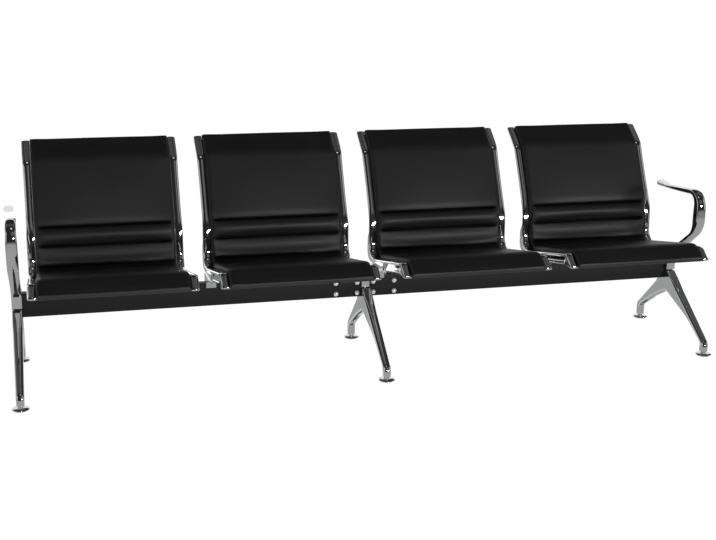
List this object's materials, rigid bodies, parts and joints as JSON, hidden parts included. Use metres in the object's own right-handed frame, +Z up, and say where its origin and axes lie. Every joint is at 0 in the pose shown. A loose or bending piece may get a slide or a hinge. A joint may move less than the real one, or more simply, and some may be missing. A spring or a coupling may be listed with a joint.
{
  "type": "beam seating",
  "caption": "Waiting-room bench: padded black seats in chrome side rails on a steel beam with forked chrome legs, looped armrests and levelling feet.",
  "frame": {"origin": "on the floor under the middle of the bench's plan", "axes": "+X along the beam to the right as a sitter faces out, seen from the front; +Y to the rear; +Z up"},
  "size_m": [2.423, 0.6372, 0.753],
  "materials": {
    "beam_black": "satin black powder coat",
    "chrome": "polished chrome plate",
    "zinc": "bright zinc plate",
    "galvanised": "galvanised",
    "plastic_black": "moulded polypropylene",
    "shell_black": "fine-textured black powder coat on perforated sheet",
    "leather_black": "semi-gloss polyurethane leather"
  },
  "bodies": {
    "bench": {"beam_left": "beam_black", "beam_right": "beam_black", "beam_splice": "galvanised", "beam_cap_left": "plastic_black", "beam_cap_right": "plastic_black", "splice_bolts": "zinc", "splice_washers": "zinc", "splice_nuts": "zinc", "leg_left": "chrome", "leg_centre": "chrome", "leg_right": "chrome", "centre_clamp": "chrome", "armrest_left": "chrome", "armrest_right": "chrome", "leg_bolts": "zinc", "clamp_bolts": "zinc", "leg_inserts": "zinc", "seat_shell_1": "shell_black", "seat_shell_2": "shell_black", "seat_shell_3": "shell_black", "seat_shell_4": "shell_black", "seat_pad_1": "leather_black", "seat_pad_2": "leather_black", "seat_pad_3": "leather_black", "seat_pad_4": "leather_black", "seat_rail_left_1": "chrome", "seat_rail_left_2": "chrome", "seat_rail_left_3": "chrome", "seat_rail_left_4": "chrome", "seat_rail_right_1": "chrome", "seat_rail_right_2": "chrome", "seat_rail_right_3": "chrome", "seat_rail_right_4": "chrome", "seat_brackets_1": "chrome", "seat_brackets_2": "chrome", "seat_brackets_3": "chrome", "seat_brackets_4": "chrome", "bracket_bolts": "zinc", "shell_screws": "zinc"},
    "glide_front_left": {"foot_glide_front_left": "plastic_black"},
    "foot_front_left": {"foot_disc_front_left": "chrome", "foot_stud_front_left": "zinc"},
    "glide_front_centre": {"foot_glide_front_centre": "plastic_black"},
    "foot_front_centre": {"foot_disc_front_centre": "chrome", "foot_stud_front_centre": "zinc"},
    "glide_front_right": {"foot_glide_front_right": "plastic_black"},
    "foot_front_right": {"foot_disc_front_right": "chrome", "foot_stud_front_right": "zinc"},
    "glide_rear_left": {"foot_glide_rear_left": "plastic_black"},
    "foot_rear_left": {"foot_disc_rear_left": "chrome", "foot_stud_rear_left": "zinc"},
    "glide_rear_centre": {"foot_glide_rear_centre": "plastic_black"},
    "foot_rear_centre": {"foot_disc_rear_centre": "chrome", "foot_stud_rear_centre": "zinc"},
    "glide_rear_right": {"foot_glide_rear_right": "plastic_black"},
    "foot_rear_right": {"foot_disc_rear_right": "chrome", "foot_stud_rear_right": "zinc"}
  },
  "joints": [
    {"name": "foot_slide_front_left", "type": "slide", "parent": "bench", "child": "glide_front_left", "axis": [0, 0, -1], "range_m": [0, 0.012]},
    {"name": "stud_turn_front_left", "type": "hinge", "parent": "glide_front_left", "child": "foot_front_left", "pos_m": [-1.183, -0.2507, 0.011], "axis": [0, 0, -1], "range_deg": [0, 2880]},
    {"name": "foot_slide_front_centre", "type": "slide", "parent": "bench", "child": "glide_front_centre", "axis": [0, 0, -1], "range_m": [0, 0.012]},
    {"name": "stud_turn_front_centre", "type": "hinge", "parent": "glide_front_centre", "child": "foot_front_centre", "pos_m": [0, -0.2507, 0.011], "axis": [0, 0, -1], "range_deg": [0, 2880]},
    {"name": "foot_slide_front_right", "type": "slide", "parent": "bench", "child": "glide_front_right", "axis": [0, 0, -1], "range_m": [0, 0.012]},
    {"name": "stud_turn_front_right", "type": "hinge", "parent": "glide_front_right", "child": "foot_front_right", "pos_m": [1.183, -0.2507, 0.011], "axis": [0, 0, -1], "range_deg": [0, 2880]},
    {"name": "foot_slide_rear_left", "type": "slide", "parent": "bench", "child": "glide_rear_left", "axis": [0, 0, -1], "range_m": [0, 0.012]},
    {"name": "stud_turn_rear_left", "type": "hinge", "parent": "glide_rear_left", "child": "foot_rear_left", "pos_m": [-1.183, 0.2303, 0.011], "axis": [0, 0, -1], "range_deg": [0, 2880]},
    {"name": "foot_slide_rear_centre", "type": "slide", "parent": "bench", "child": "glide_rear_centre", "axis": [0, 0, -1], "range_m": [0, 0.012]},
    {"name": "stud_turn_rear_centre", "type": "hinge", "parent": "glide_rear_centre", "child": "foot_rear_centre", "pos_m": [0, 0.2303, 0.011], "axis": [0, 0, -1], "range_deg": [0, 2880]},
    {"name": "foot_slide_rear_right", "type": "slide", "parent": "bench", "child": "glide_rear_right", "axis": [0, 0, -1], "range_m": [0, 0.012]},
    {"name": "stud_turn_rear_right", "type": "hinge", "parent": "glide_rear_right", "child": "foot_rear_right", "pos_m": [1.183, 0.2303, 0.011], "axis": [0, 0, -1], "range_deg": [0, 2880]}
  ],
  "couplings": [
    {"joint": "foot_slide_front_left", "follows": "stud_turn_front_left", "m_per_rad": 0.00023873},
    {"joint": "foot_slide_front_centre", "follows": "stud_turn_front_centre", "m_per_rad": 0.00023873},
    {"joint": "foot_slide_front_right", "follows": "stud_turn_front_right", "m_per_rad": 0.00023873},
    {"joint": "foot_slide_rear_left", "follows": "stud_turn_rear_left", "m_per_rad": 0.00023873},
    {"joint": "foot_slide_rear_centre", "follows": "stud_turn_rear_centre", "m_per_rad": 0.00023873},
    {"joint": "foot_slide_rear_right", "follows": "stud_turn_rear_right", "m_per_rad": 0.00023873}
  ]
}
